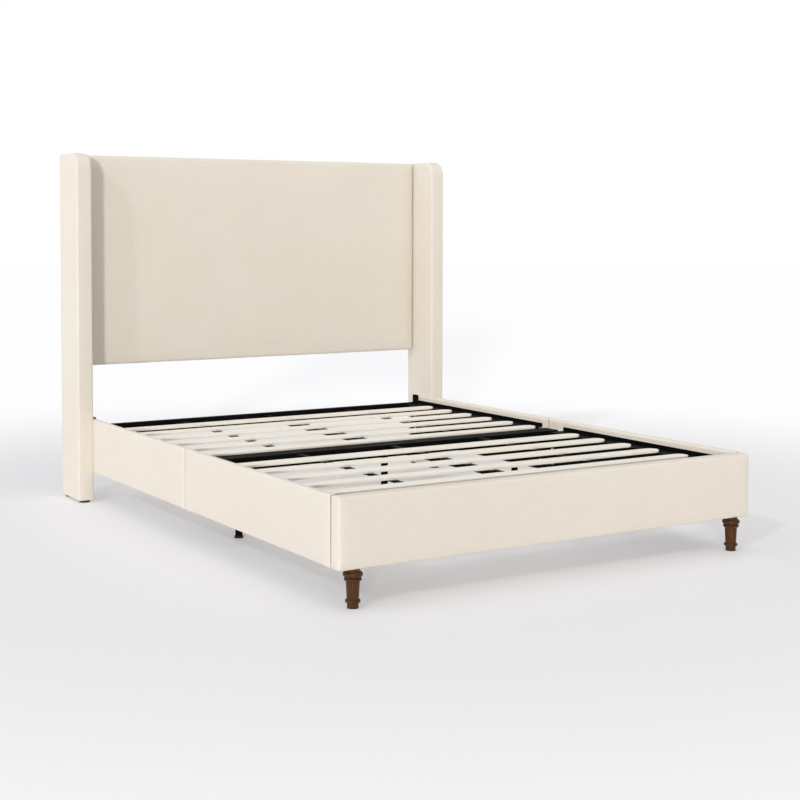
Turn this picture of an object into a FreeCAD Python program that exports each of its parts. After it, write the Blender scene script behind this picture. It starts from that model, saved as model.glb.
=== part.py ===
import FreeCAD, Part
import os
import re
import Sketcher

# Upholstered wing-headboard bed for a queen mattress, as a parametric document.
# Millimetres, +Z up, +Y towards the head of the bed, +X to the right of someone standing at the foot.
# The origin is on the floor under the middle of the whole bed. Every sub-part is one object of the
# document, its sizes are bound to the cells of the Sizes sheet, and its Label names its file.

Vector = FreeCAD.Vector

# alias, value in mm, what it is
SIZES = [
    ("mattress_width", 1524, "width of the mattress that lies in the well"),
    ("mattress_length", 2032, "length of that mattress"),
    ("side_gap", 28, "mattress to rail, each side"),
    ("end_gap", 11, "mattress to footboard and to headboard"),
    ("leg_height", 116, "floor to the underside of rails and footboard"),
    ("rail_height", 219, "height of rails and footboard"),
    ("rail_thick", 27, "upholstered side rail, outside to inside"),
    ("footboard_thick", 50, "upholstered footboard, front to back"),
    ("cover_thick", 10, "fabric and the thin foam under it"),
    ("rail_cover", 6, "the same on a side rail"),
    ("edge_round", 5, "soft edge of rails, footboard and wings"),
    ("seam_gap", 1, "joint between the two halves of a rail"),
    ("wing_thick", 63, "wing, across the bed"),
    ("wing_reach", 139, "how far a wing stands forward of the panel"),
    ("wing_height", 1400, "wing without its glides"),
    ("wing_round", 65, "rounded upper front corner of a wing"),
    ("glide_tall", 8, "plastic glide under a wing"),
    ("glide_wide", 21, "radius of that glide"),
    ("glide_inset", 26, "glide centre to the wing's front or back"),
    ("panel_thick", 68, "headboard panel, front to back"),
    ("panel_low", 533, "floor to the panel's lower edge"),
    ("panel_foam", 42, "foam and fabric on the front of the panel"),
    ("panel_round", 20, "soft front edge of the panel"),
    ("felt_thick", 4, "cloth back of the panel"),
    ("well_depth", 31, "rail top to slat top"),
    ("slat_thick", 9, "slat"),
    ("slat_width", 58, "slat, along the bed"),
    ("slat_end_gap", 48, "slat end to rail"),
    ("slat_foot_margin", 5, "footboard to the nearest slat"),
    ("slat_before_bar", 144, "last foot slat to the middle crossbar"),
    ("slat_over_bar", 6, "how far the first head slat laps the middle crossbar's rear edge"),
    ("slat_head_margin", 187, "last head slat to the head crossbar's rear edge"),
    ("steel_thick", 2, "sheet of the ledges and the tube walls"),
    ("plate_thick", 3, "plate of the brackets"),
    ("ledge_wide", 70, "slat ledge, across its seat"),
    ("ledge_rise", 15, "slat ledge's upright flange above the seat"),
    ("ledge_gap", 137, "break in the ledges at the middle crossbar"),
    ("lining_thick", 1, "black lining cloth on the inner faces"),
    ("crossbar_forward", 32, "middle crossbar's middle, footward of the rail joint"),
    ("crossbar_wide", 80, "middle crossbar, along the bed"),
    ("crossbar_tall", 45, "both crossbars"),
    ("head_bar_wide", 30, "head crossbar, along the bed"),
    ("head_bar_back", 37, "head crossbar to the plane of the panel"),
    ("head_bar_up", 5, "head crossbar's top above the slat seat"),
    ("bar_spread", 400, "side strips' middle from the centre line"),
    ("bar_tall", 20, "long centre bar"),
    ("strip_thick", 4, "long flat side strip"),
    ("side_bar_wide", 28, "long flat side strip, across the bed"),
    ("centre_bar_wide", 30, "long centre bar, across the bed"),
    ("pad_tall", 3, "spacer pad between a long bar and a slat"),
    ("pad_long", 40, "spacer pad, along the bed"),
    ("clip_long", 32, "angle clip at a bar's end, along the bar"),
    ("clip_drop", 12, "angle clip, down the crossbar's face"),
    ("clip_wide", 36, "angle clip, across the bed"),
    ("support_spread", 612, "outer support legs from the centre line"),
    ("support_back", 18, "support legs headward of the crossbar's middle"),
    ("support_wide", 13, "radius of a support leg"),
    ("support_plate", 44, "square plate on top of a support leg"),
    ("foot_wide", 16, "radius of a levelling foot"),
    ("foot_tall", 7, "levelling foot's disc"),
    ("foot_gap", 0.4, "disc to leg when the foot is screwed right in"),
    ("stem_wide", 4, "radius of a foot's stem and of every bolt"),
    ("stem_long", 38, "stem above its disc"),
    ("stem_bore_gap", 0.3, "clearance round a stem or bolt"),
    ("stem_room", 6, "bore beyond the stem's end"),
    ("turned_side", 63, "turned leg's middle to the footboard's end"),
    ("turned_foot_tall", 16, "plain foot of a turned leg"),
    ("turned_ring_tall", 10, "lower ring"),
    ("turned_collar_tall", 9, "upper ring"),
    ("turned_groove_tall", 2, "groove between upper ring and bead"),
    ("turned_bead_tall", 16, "bead"),
    ("turned_neck_tall", 8, "neck under the footboard"),
    ("turned_foot_wide", 17.2, "radius of the foot"),
    ("turned_ring_wide", 23, "radius of the lower ring"),
    ("turned_body_low", 18.1, "radius of the tapered body at its foot"),
    ("turned_body_high", 20.8, "radius of the tapered body at its top"),
    ("turned_collar_wide", 26.3, "radius of the upper ring"),
    ("turned_groove_wide", 21, "radius in the groove"),
    ("turned_bead_wide", 29.8, "radius of the bead"),
    ("turned_neck_wide", 21.5, "radius of the neck"),
    ("hanger_long", 52, "hanger bolt between a turned leg and the footboard"),
    ("bolt_head_wide", 7, "radius of a bolt head"),
    ("bolt_head_tall", 5, "bolt head"),
    ("bolt_short", 20, "bolt into a side rail, under its head"),
    ("bolt_front", 30, "bolt into the footboard, under its head"),
    ("bolt_bite", 32, "long bolt's reach into the wing"),
    ("hook_low", 84, "head bracket's lower end under the crossbar's underside"),
    ("hook_lip", 5, "head bracket's side flanges"),
    ("hook_shelf", 30, "head bracket's shelf under the crossbar"),
    ("splice_long", 140, "splice bracket along the rail"),
    ("splice_tall", 110, "splice bracket's upright"),
    ("splice_seat", 40, "splice bracket's seat under the crossbar"),
    ("splice_pitch", 80, "splice bolts, along the rail"),
    ("corner_leg", 62, "foot corner bracket, each leg"),
    ("corner_tall", 120, "foot corner bracket, height"),
    ("bolt_pitch", 55, "two bolts of one bracket, one above the other"),
    ("panel_bolt_bite", 40, "headboard bolt's reach into the plywood"),
    ("panel_bolt_seat", 20, "wood between that bolt's head and the panel"),
    ("panel_bolt_gap", 1, "headboard bolt's head to the cover behind it"),
    ("panel_bolt_margin", 110, "outer headboard bolts to the panel's top and bottom"),
]
SLATS_PER_HALF = 6
PANEL_BOLTS = 3
MOST_PARTS = 60

doc = FreeCAD.newDocument("UpholsteredBed")
sheet = doc.addObject("Spreadsheet::Sheet", "Sizes")
for row, (alias, value, note) in enumerate(SIZES, start=1):
    sheet.set(f"A{row}", alias)
    sheet.set(f"B{row}", str(value))
    sheet.setAlias(f"B{row}", alias)
    sheet.set(f"C{row}", note)
doc.recompute()
ALIASES = {alias for alias, _, _ in SIZES}
PARTS = []


# ---------------------------------------------------------------- the shared planes, as formulas
HALF_INNER = "(mattress_width / 2 + side_gap)"
HALF_OUTER = f"({HALF_INNER} + rail_thick)"
LENGTH = "(footboard_thick + mattress_length + 2 * end_gap + panel_thick)"
FRONT = f"(-{LENGTH} / 2)"
BACK = f"({LENGTH} / 2)"
RAIL_START = f"({FRONT} + footboard_thick)"
RAIL_END = f"({BACK} - panel_thick)"
JOINT = f"(({RAIL_START} + {RAIL_END}) / 2)"
WING_FRONT = f"({RAIL_END} - wing_reach)"
WING_DEEP = "(wing_reach + panel_thick)"
WING_TOP = "(glide_tall + wing_height)"
RAIL_TOP = "(leg_height + rail_height)"
SEAT = f"({RAIL_TOP} - well_depth - slat_thick)"
CROSSBAR = f"({JOINT} - crossbar_forward)"
CROSSBAR_LOW = f"({SEAT} - crossbar_tall)"
HEAD_BAR = f"({RAIL_END} - head_bar_back - head_bar_wide)"
HEAD_BAR_LOW = f"({SEAT} + head_bar_up - crossbar_tall)"
BAR_TOP = f"({SEAT} - pad_tall)"
BAR_LOW = f"({BAR_TOP} - bar_tall)"
STRIP_LOW = f"({BAR_TOP} - strip_thick)"
LINED = f"({HALF_INNER} - lining_thick)"
PLATED = f"({LINED} - plate_thick)"
SUPPORT = f"({CROSSBAR} + support_back)"


# ---------------------------------------------------------------- helpers
def formula(text):
    """Spell a formula of size names the way the document's expressions want it."""
    def spell(word):
        return "Sizes." + word[0] if word[0] in ALIASES else word[0]

    return re.sub(r"[a-z][a-z_]*", spell, str(text))


def number(text):
    """The present value of such a formula, in mm."""
    return float(sheet.evalExpression(formula(text)))


def bind(thing, **sizes):
    for name, text in sizes.items():
        thing.setExpression(name, formula(text))
    return thing


def place(thing, x, y, z):
    for axis, text in zip("xyz", (x, y, z)):
        thing.setExpression(f"Placement.Base.{axis}", formula(text))
    return thing


def part(thing, label):
    """Name a finished sub-part and put it on the list that is written out."""
    thing.Label = label
    PARTS.append(thing)
    return thing


def box(name, x, y, z, at):
    solid = doc.addObject("Part::Box", name)
    bind(solid, Length=x, Width=y, Height=z)
    return place(solid, *at)


def rod(name, radius, length, at, along=(0, 0, 1)):
    """A cylinder that starts at a point and runs along a direction."""
    solid = doc.addObject("Part::Cylinder", name)
    solid.Placement = FreeCAD.Placement(Vector(), FreeCAD.Rotation(Vector(0, 0, 1), Vector(*along)))
    bind(solid, Radius=radius, Height=length)
    return place(solid, *at)


def prism(name, plane, ring, length, at, hole=None):
    """A sketched outline, with or without a hole, padded along the plane's third axis.

    XZ outlines run towards +Y and YZ outlines towards +X; XY outlines run up.
    """
    body = doc.addObject("PartDesign::Body", name)
    sketch = body.newObject("Sketcher::SketchObject", name + "_outline")
    face = [item for item in body.Origin.OriginFeatures if item.Role == plane + "_Plane"][0]
    sketch.AttachmentSupport = [(face, "")]
    sketch.MapMode = "FlatFace"
    for corners in (ring, hole) if hole else (ring,):
        draw_ring(sketch, corners)
    pad = body.newObject("PartDesign::Pad", name + "_pad")
    pad.Profile = sketch
    pad.Reversed = plane == "XZ"
    bind(pad, Length=length)
    return place(body, *at)


def draw_ring(sketch, corners):
    """Draw a closed ring of straight lines and tie each corner to its two formulas."""
    points = [Vector(number(across), number(up), 0) for across, up in corners]
    first = sketch.GeometryCount
    last = first + len(corners) - 1
    for start, end in zip(points, points[1:] + points[:1]):
        sketch.addGeometry(Part.LineSegment(start, end), False)
    for line in range(first, last + 1):
        following = line + 1 if line < last else first
        sketch.addConstraint(Sketcher.Constraint("Coincident", line, 2, following, 1))
    for line, point, texts in zip(range(first, last + 1), points, corners):
        for kind, value, text in zip(("DistanceX", "DistanceY"), (point.x, point.y), texts):
            index = sketch.addConstraint(Sketcher.Constraint(kind, -1, 1, line, 1, value))
            sketch.setExpression(f"Constraints[{index}]", formula(text))


def rectangle(wide, tall, margin="0"):
    """Corners of a rectangle from the origin, or of one inset by a margin on every side."""
    return [(margin, margin), (f"{wide} - {margin}", margin),
            (f"{wide} - {margin}", f"{tall} - {margin}"), (margin, f"{tall} - {margin}")]


def round_edges(body, wanted, radius):
    """Fillet the edges of a body's tip that pass a test, with a bound radius."""
    doc.recompute()
    tip = body.Tip
    names = [f"Edge{i}" for i, edge in enumerate(tip.Shape.Edges, start=1) if wanted(edge)]
    fillet = body.newObject("PartDesign::Fillet", tip.Name + "_round")
    fillet.Base = (tip, names)
    bind(fillet, Radius=radius)
    return body


def runs_along(edge, axis):
    """True for a straight edge along the named axis."""
    ends = [vertex.Point for vertex in edge.Vertexes]
    if len(ends) < 2 or edge.Curve.TypeId != "Part::GeomLine":
        return False
    step = ends[1] - ends[0]
    return abs(getattr(step, axis)) > 0.999 * step.Length


def at_height(edge, text):
    """True for an edge that lies level, as high above its body's own origin as the formula says."""
    bounds = edge.BoundBox
    return max(abs(bounds.ZMin - number(text)), abs(bounds.ZMax - number(text))) < 0.01


def group(name, things):
    gathered = doc.addObject("Part::Compound", name)
    gathered.Links = things
    return gathered


def cut(name, base, tools):
    solid = doc.addObject("Part::Cut", name)
    solid.Base = base
    solid.Tool = tools[0] if len(tools) == 1 else group(name + "_tools", tools)
    return solid


def mirror(name, source):
    """The same piece on the other side of the bed."""
    twin = doc.addObject("Part::Mirroring", name)
    twin.Source = source
    twin.Normal = Vector(1, 0, 0)
    return twin


def both_sides(thing, stem, tail=""):
    """List a right-hand piece and its left-hand twin as two sub-parts."""
    part(thing, f"{stem}_right{tail}")
    twin = mirror(f"{stem}_left{tail}_twin", thing)
    return part(twin, f"{stem}_left{tail}")


def pair(label, things):
    """One sub-part of loose right-hand solids and their left-hand twins."""
    right = group(label + "_one_side", things)
    return part(group(label + "_all", [right, mirror(label + "_twins", right)]), label)


# ---------------------------------------------------------------- bolts and their bores
def bolt(name, length, at, along):
    """A round-headed bolt whose head seats at a point and whose shank runs along a direction."""
    x, y, z = at
    away = [f"{text} - ({step}) * bolt_head_tall" for text, step in zip((x, y, z), along)]
    whole = doc.addObject("Part::Fuse", name)
    whole.Base = rod(name + "_head", "bolt_head_wide", "bolt_head_tall", away, along)
    whole.Tool = rod(name + "_shank", "stem_wide", length, at, along)
    return whole


def bore(name, length, at, along):
    """The room that such a bolt's shank takes, with its clearance."""
    return rod(name, "stem_wide + stem_bore_gap", f"{length} + stem_bore_gap", at, along)


def bolts_and_bores(name, length, places, along):
    bolts = [bolt(f"{name}_{i}", length, at, along) for i, at in enumerate(places, start=1)]
    bores = [bore(f"{name}_bore_{i}", length, at, along) for i, at in enumerate(places, start=1)]
    return bolts, group(name + "_bores", bores)


HOOK_LOW = f"({HEAD_BAR_LOW} - hook_low)"
LONG_BOLT = "(plate_thick + lining_thick + rail_thick + bolt_bite)"
HOOK_MID = f"({HEAD_BAR} + head_bar_wide / 2)"
long_bolts, long_bores = bolts_and_bores("long_bolt", LONG_BOLT, [
    (PLATED, HOOK_MID, f"{HOOK_LOW} + hook_low / 6"),
    (PLATED, HOOK_MID, f"{HOOK_LOW} + hook_low / 6 + bolt_pitch")], (1, 0, 0))

SPLICE_TOP = CROSSBAR_LOW
SPLICE_BOLT_LOW = f"({SPLICE_TOP} - splice_tall + (splice_tall - bolt_pitch) / 3)"
splice_bolts, splice_bores = bolts_and_bores("splice_bolt", "bolt_short", [
    (PLATED, f"{JOINT} + {side} * splice_pitch / 2", f"{SPLICE_BOLT_LOW} + {step} * bolt_pitch")
    for side in (-1, 1) for step in (0, 1)], (1, 0, 0))

CORNER_LOW = "(leg_height + (rail_height - corner_tall) / 3)"
CORNER_BOLT_LOW = f"({CORNER_LOW} + (corner_tall - bolt_pitch) / 2)"
CORNER_INNER = f"({RAIL_START} + lining_thick)"
corner_side_bolts, corner_side_bores = bolts_and_bores("corner_side_bolt", "bolt_short", [
    (PLATED, f"{CORNER_INNER} + corner_leg * 2 / 3", f"{CORNER_BOLT_LOW} + {step} * bolt_pitch")
    for step in (0, 1)], (1, 0, 0))
corner_front_bolts, corner_front_bores = bolts_and_bores("corner_front_bolt", "bolt_front", [
    (f"{LINED} - corner_leg * 2 / 3", f"{CORNER_INNER} + plate_thick",
     f"{CORNER_BOLT_LOW} + {step} * bolt_pitch")
    for step in (0, 1)], (0, -1, 0))

PANEL_BOLT_AT = f"({HALF_OUTER} + cover_thick + panel_bolt_seat)"
PANEL_BOLT_BACK = f"({BACK} - cover_thick - bolt_head_wide - panel_bolt_gap)"
PANEL_BOLT_LOW = "(panel_low + panel_bolt_margin)"
PANEL_BOLT_RISE = f"({WING_TOP} - panel_bolt_margin - {PANEL_BOLT_LOW})"
PANEL_BOLT_PLACES = [
    (PANEL_BOLT_AT, PANEL_BOLT_BACK, f"{PANEL_BOLT_LOW} + {PANEL_BOLT_RISE} * {step} / {PANEL_BOLTS - 1}")
    for step in range(PANEL_BOLTS)]
panel_bolts, panel_bores = bolts_and_bores(
    "panel_bolt", "2 * cover_thick + panel_bolt_seat + panel_bolt_bite", PANEL_BOLT_PLACES, (-1, 0, 0))
panel_recesses = [
    rod(f"panel_bolt_recess_{i}", "bolt_head_wide + stem_bore_gap",
        "wing_thick - 2 * cover_thick - panel_bolt_seat", at, (1, 0, 0))
    for i, at in enumerate(PANEL_BOLT_PLACES, start=1)]
panel_bores_left = mirror("panel_bores_left", panel_bores)

pair("headboard_bolts", panel_bolts)
pair("long_bolts", long_bolts)
pair("frame_bolts", splice_bolts + corner_side_bolts + corner_front_bolts)


# ---------------------------------------------------------------- headboard wings
def build_wings():
    """A board in a fabric sleeve that is open at the bottom, on two plastic glides."""
    core = rectangle(f"({WING_DEEP} - 2 * cover_thick)", "(wing_height - cover_thick)")
    board = prism("wing_core", "YZ", core, "wing_thick - 2 * cover_thick",
                  (f"{HALF_OUTER} + cover_thick", f"{WING_FRONT} + cover_thick", "glide_tall"))
    skin = prism("wing_skin", "YZ", rectangle(WING_DEEP, "wing_height"), "wing_thick",
                 (HALF_OUTER, WING_FRONT, "glide_tall"))
    round_edges(board, lambda edge: runs_along(edge, "x") and at_height(edge, "wing_height - cover_thick")
                and edge.BoundBox.YMax < 1, "wing_round - cover_thick")
    round_edges(skin, lambda edge: runs_along(edge, "x") and at_height(edge, "wing_height")
                and edge.BoundBox.YMax < 1, "wing_round")
    round_edges(skin, lambda edge: edge.BoundBox.ZMax > 1 and edge.BoundBox.XLength < 1
                and edge.BoundBox.YMax < number(f"{WING_DEEP} - 1"), "edge_round")
    both_sides(cut("wing_board", board, [long_bores, panel_bores] + panel_recesses), "wing", "_board")
    both_sides(cut("wing_cover", skin, [board, long_bores, panel_bores]), "wing", "_cover")
    glides = [rod(f"wing_glide_{end}", "glide_wide", "glide_tall",
                  (f"{HALF_OUTER} + wing_thick / 2", middle, "0"))
              for end, middle in (("front", f"{WING_FRONT} + glide_inset"),
                                  ("back", f"{BACK} - glide_inset"))]
    pair("wing_glides", glides)


# ---------------------------------------------------------------- headboard panel
def build_panel():
    """A plywood panel in a foam-fronted cover that a cloth back closes."""
    tall = f"({WING_TOP} - panel_low)"
    board = box("headboard_plywood", f"2 * ({HALF_OUTER} - cover_thick)",
                "panel_thick - panel_foam - felt_thick", f"{tall} - 2 * cover_thick",
                (f"-({HALF_OUTER} - cover_thick)", f"{RAIL_END} + panel_foam", "panel_low + cover_thick"))
    part(cut("headboard_wood", board, [panel_bores, panel_bores_left]), "headboard_board")
    felt = box("headboard_felt", f"2 * ({HALF_OUTER} - cover_thick)", "felt_thick",
               f"{tall} - 2 * cover_thick",
               (f"-({HALF_OUTER} - cover_thick)", f"{BACK} - felt_thick", "panel_low + cover_thick"))
    part(felt, "headboard_back_cover")
    block = prism("headboard_block", "YZ", rectangle("panel_thick", tall), f"2 * {HALF_OUTER}",
                  (f"-{HALF_OUTER}", RAIL_END, "panel_low"))
    round_edges(block, lambda edge: edge.BoundBox.YMax < 1 and not runs_along(edge, "y"), "panel_round")
    part(cut("headboard_padding", block, [board, felt, panel_bores, panel_bores_left]), "headboard_pad")


# ---------------------------------------------------------------- side rails
def build_rails():
    """Each rail is two equal halves: a board in a fabric sleeve, a steel slat ledge and a lining."""
    halves = (
        ("head", f"{JOINT} + seam_gap / 2", RAIL_END, f"{CROSSBAR} + ledge_gap / 2",
         f"{HEAD_BAR} - plate_thick - 2"),
        ("foot", RAIL_START, f"{JOINT} - seam_gap / 2", f"{RAIL_START} + 2 * steel_thick",
         f"{CROSSBAR} - ledge_gap / 2"),
    )
    bores = {"head": [splice_bores, long_bores], "foot": [splice_bores, corner_side_bores]}
    inner = "(rail_thick - 2 * rail_cover)"
    linings = []
    for half, start, end, ledge_start, ledge_end in halves:
        board = box(f"rail_{half}_core", inner, f"{end} - ({start})", "rail_height - 2 * rail_cover",
                    (f"{HALF_INNER} + rail_cover", start, "leg_height + rail_cover"))
        skin = prism(f"rail_{half}_skin", "XZ", rectangle("rail_thick", "rail_height"), f"{end} - ({start})",
                     (HALF_INNER, start, "leg_height"))
        round_edges(skin, lambda edge: runs_along(edge, "y"), "edge_round")
        both_sides(cut(f"rail_{half}_board", board, bores[half]), "rail", f"_{half}_board")
        both_sides(cut(f"rail_{half}_cover", skin, [board] + bores[half]), "rail", f"_{half}_cover")
        ledge_corners = [("0", "0"), ("0", "steel_thick + ledge_rise"),
                         ("-steel_thick", "steel_thick + ledge_rise"), ("-steel_thick", "steel_thick"),
                         ("-ledge_wide", "steel_thick"), ("-ledge_wide", "0")]
        ledge = prism(f"rail_{half}_ledge", "XZ", ledge_corners, f"{ledge_end} - ({ledge_start})",
                      (HALF_INNER, ledge_start, f"{SEAT} - steel_thick"))
        both_sides(ledge, "rail", f"_{half}_ledge")
        cloth = box(f"rail_{half}_cloth", "lining_thick", f"{end} - ({start}) - lining_thick",
                    f"{SEAT} - steel_thick - leg_height - 2 * edge_round",
                    (LINED, f"{start} + lining_thick", "leg_height + edge_round"))
        linings.append(cut(f"rail_{half}_lining", cloth, bores[half]))
    pair("rail_linings", linings)


# ---------------------------------------------------------------- footboard
def build_footboard():
    """A board in a fabric sleeve that is open at the bottom, with its own ledge and lining."""
    both_corner_bores = [corner_front_bores, mirror("corner_front_bores_left", corner_front_bores)]
    board = box("footboard_core", f"2 * ({HALF_OUTER} - cover_thick)", "footboard_thick - 2 * cover_thick",
                "rail_height - cover_thick",
                (f"-({HALF_OUTER} - cover_thick)", f"{FRONT} + cover_thick", "leg_height"))
    hanger_bore = rod("hanger_bore", "stem_wide + stem_bore_gap", "hanger_long / 2 + stem_bore_gap",
                      (f"{HALF_OUTER} - turned_side", f"{FRONT} + footboard_thick / 2", "leg_height"))
    hanger_bores = [hanger_bore, mirror("hanger_bore_left", hanger_bore)]
    part(cut("footboard_wood", board, both_corner_bores + hanger_bores), "footboard_board")
    skin = box("footboard_skin", f"2 * {HALF_OUTER}", "footboard_thick", "rail_height",
               (f"-{HALF_OUTER}", FRONT, "leg_height"))
    part(cut("footboard_fabric", skin, [board] + both_corner_bores), "footboard_cover")
    reach = f"({LINED} - corner_leg)"
    ledge_corners = [("0", "0"), ("ledge_wide / 2", "0"), ("ledge_wide / 2", "steel_thick"),
                     ("steel_thick", "steel_thick"), ("steel_thick", "steel_thick + ledge_rise"),
                     ("0", "steel_thick + ledge_rise")]
    part(prism("footboard_angle", "YZ", ledge_corners, f"2 * {reach}",
               (f"-{reach}", RAIL_START, f"{BAR_LOW} - steel_thick")), "footboard_ledge")
    cloth = box("footboard_cloth", f"2 * ({LINED} - 1)", "lining_thick",
                f"{BAR_LOW} - steel_thick - leg_height - edge_round",
                (f"-({LINED} - 1)", RAIL_START, "leg_height + edge_round"))
    part(cut("footboard_back", cloth, both_corner_bores), "footboard_lining")


# ---------------------------------------------------------------- steel brackets
def build_brackets():
    """Hooks for the head crossbar, splice brackets at the rail joints and corner brackets at the foot."""
    hook_tall = f"({RAIL_TOP} - 1 - {HOOK_LOW})"
    hook_wide = "(head_bar_wide + 2 * plate_thick)"
    lip = "-plate_thick - hook_lip"
    hook_corners = [("0", "0"), ("0", hook_wide), (lip, hook_wide), (lip, f"{hook_wide} - plate_thick"),
                    ("-plate_thick", f"{hook_wide} - plate_thick"), ("-plate_thick", "plate_thick"),
                    (lip, "plate_thick"), (lip, "0")]
    hook = prism("head_hook", "XY", hook_corners, hook_tall, (LINED, f"{HEAD_BAR} - plate_thick", HOOK_LOW))
    shelf = box("head_hook_shelf", "hook_shelf", "head_bar_wide", "plate_thick",
                (f"{PLATED} - hook_shelf", HEAD_BAR, f"{HEAD_BAR_LOW} - plate_thick"))
    whole = doc.addObject("Part::Fuse", "head_hook_whole")
    whole.Base = hook
    whole.Tool = shelf
    pair("crossbar_hooks", [cut("head_hook_drilled", whole, [long_bores])])

    under_seat = "splice_tall - plate_thick"
    splice_corners = [("0", "0"), ("0", "splice_tall"), ("-splice_seat", "splice_tall"),
                      ("-splice_seat", under_seat), ("-plate_thick", under_seat), ("-plate_thick", "0")]
    splice = prism("splice", "XZ", splice_corners, "splice_long",
                   (LINED, f"{JOINT} - splice_long / 2", f"{SPLICE_TOP} - splice_tall"))
    pair("splice_brackets", [cut("splice_drilled", splice, [splice_bores])])

    corner_corners = [("0", "0"), ("-corner_leg", "0"), ("-corner_leg", "plate_thick"),
                      ("-plate_thick", "plate_thick"), ("-plate_thick", "corner_leg"), ("0", "corner_leg")]
    corner = prism("foot_corner", "XY", corner_corners, "corner_tall", (LINED, CORNER_INNER, CORNER_LOW))
    pair("corner_brackets", [cut("foot_corner_drilled", corner, [corner_side_bores, corner_front_bores])])


# ---------------------------------------------------------------- crossbars and long bars
def tube(name, plane, wide, tall, length, at):
    return prism(name, plane, rectangle(wide, tall), length, at, hole=rectangle(wide, tall, "steel_thick"))


def build_bars():
    """Two crossbars between the rails, and in each half a centre bar and two flat side strips.

    An angle clip under each end joins them, but for the centre bar's foot, which rests on the ledge.
    """
    reach = f"({PLATED} - 1)"
    part(tube("crossbar_middle_tube", "YZ", "crossbar_wide", "crossbar_tall", f"2 * {reach}",
              (f"-{reach}", f"{CROSSBAR} - crossbar_wide / 2", CROSSBAR_LOW)), "crossbar_middle")
    part(tube("crossbar_head_tube", "YZ", "head_bar_wide", "crossbar_tall", f"2 * {reach}",
              (f"-{reach}", HEAD_BAR, HEAD_BAR_LOW)), "crossbar_head")
    bays = (("head", f"{CROSSBAR} + crossbar_wide / 2", HEAD_BAR),
            ("foot", f"{RAIL_START} + steel_thick", f"{CROSSBAR} - crossbar_wide / 2"))
    clips = []
    for bay, start, end in bays:
        centre = tube(f"centre_bar_{bay}_tube", "XZ", "centre_bar_wide", "bar_tall", f"{end} - ({start})",
                      ("-centre_bar_wide / 2", start, BAR_LOW))
        part(centre, f"centre_bar_{bay}")
        side = box(f"side_bar_{bay}_strip", "side_bar_wide", f"{end} - ({start})", "strip_thick",
                   ("bar_spread - side_bar_wide / 2", start, STRIP_LOW))
        pair(f"side_bars_{bay}", [side])
        for spot, middle, under in (("left", "-bar_spread", STRIP_LOW), ("centre", "0", BAR_LOW),
                                    ("right", "bar_spread", STRIP_LOW)):
            for tail, face, away in (("near", start, 1), ("far", end, -1)):
                if (bay, spot, tail) == ("foot", "centre", "near"):
                    continue
                leg, plate = f"{away} * clip_long", f"{away} * plate_thick"
                corners = [("0", "0"), (leg, "0"), (leg, "-plate_thick"), (plate, "-plate_thick"),
                           (plate, "-clip_drop"), ("0", "-clip_drop")]
                clips.append(prism(f"clip_{bay}_{spot}_{tail}", "YZ", corners, "clip_wide",
                                   (f"{middle} - clip_wide / 2", face, under)))
    part(group("clips", clips), "bar_clips")


# ---------------------------------------------------------------- slats and their pads
def slat_middles():
    """Formulas for the middle of each slat, from the head of the bed to its foot."""
    half = "slat_width / 2"
    head_first = f"({HEAD_BAR} + head_bar_wide - slat_head_margin - {half})"
    head_last = f"({CROSSBAR} + crossbar_wide / 2 - slat_over_bar + {half})"
    foot_first = f"({CROSSBAR} - crossbar_wide / 2 - slat_before_bar - {half})"
    foot_last = f"({RAIL_START} + slat_foot_margin + {half})"
    steps = SLATS_PER_HALF - 1
    return [f"{first} + ({last} - {first}) * {step} / {steps}"
            for first, last in ((head_first, head_last), (foot_first, foot_last))
            for step in range(SLATS_PER_HALF)]


def build_slats():
    """Slats with half-round ends on three spacer pads each, but for the last of each half.

    That one lies on the ledges alone, at its crossbar or at the footboard.
    """
    length = f"(2 * ({HALF_INNER} - slat_end_gap))"
    pads = []
    for index, middle in enumerate(slat_middles(), start=1):
        slat = prism(f"slat_{index:02d}_wood", "XY", rectangle(length, "slat_width"), "slat_thick",
                     (f"-{length} / 2", f"{middle} - slat_width / 2", SEAT))
        round_edges(slat, lambda edge: runs_along(edge, "z"), "slat_width / 2 - 0.5")
        part(slat, f"slat_{index:02d}")
        for spot, centre, wide in (("left", "-bar_spread", "side_bar_wide"),
                                   ("centre", "0", "centre_bar_wide"),
                                   ("right", "bar_spread", "side_bar_wide")):
            if index % SLATS_PER_HALF:
                pads.append(box(f"pad_{index:02d}_{spot}", wide, "pad_long", "pad_tall",
                                (f"{centre} - {wide} / 2", f"{middle} - pad_long / 2", BAR_TOP)))
    part(group("pads", pads), "slat_pads")


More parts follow.
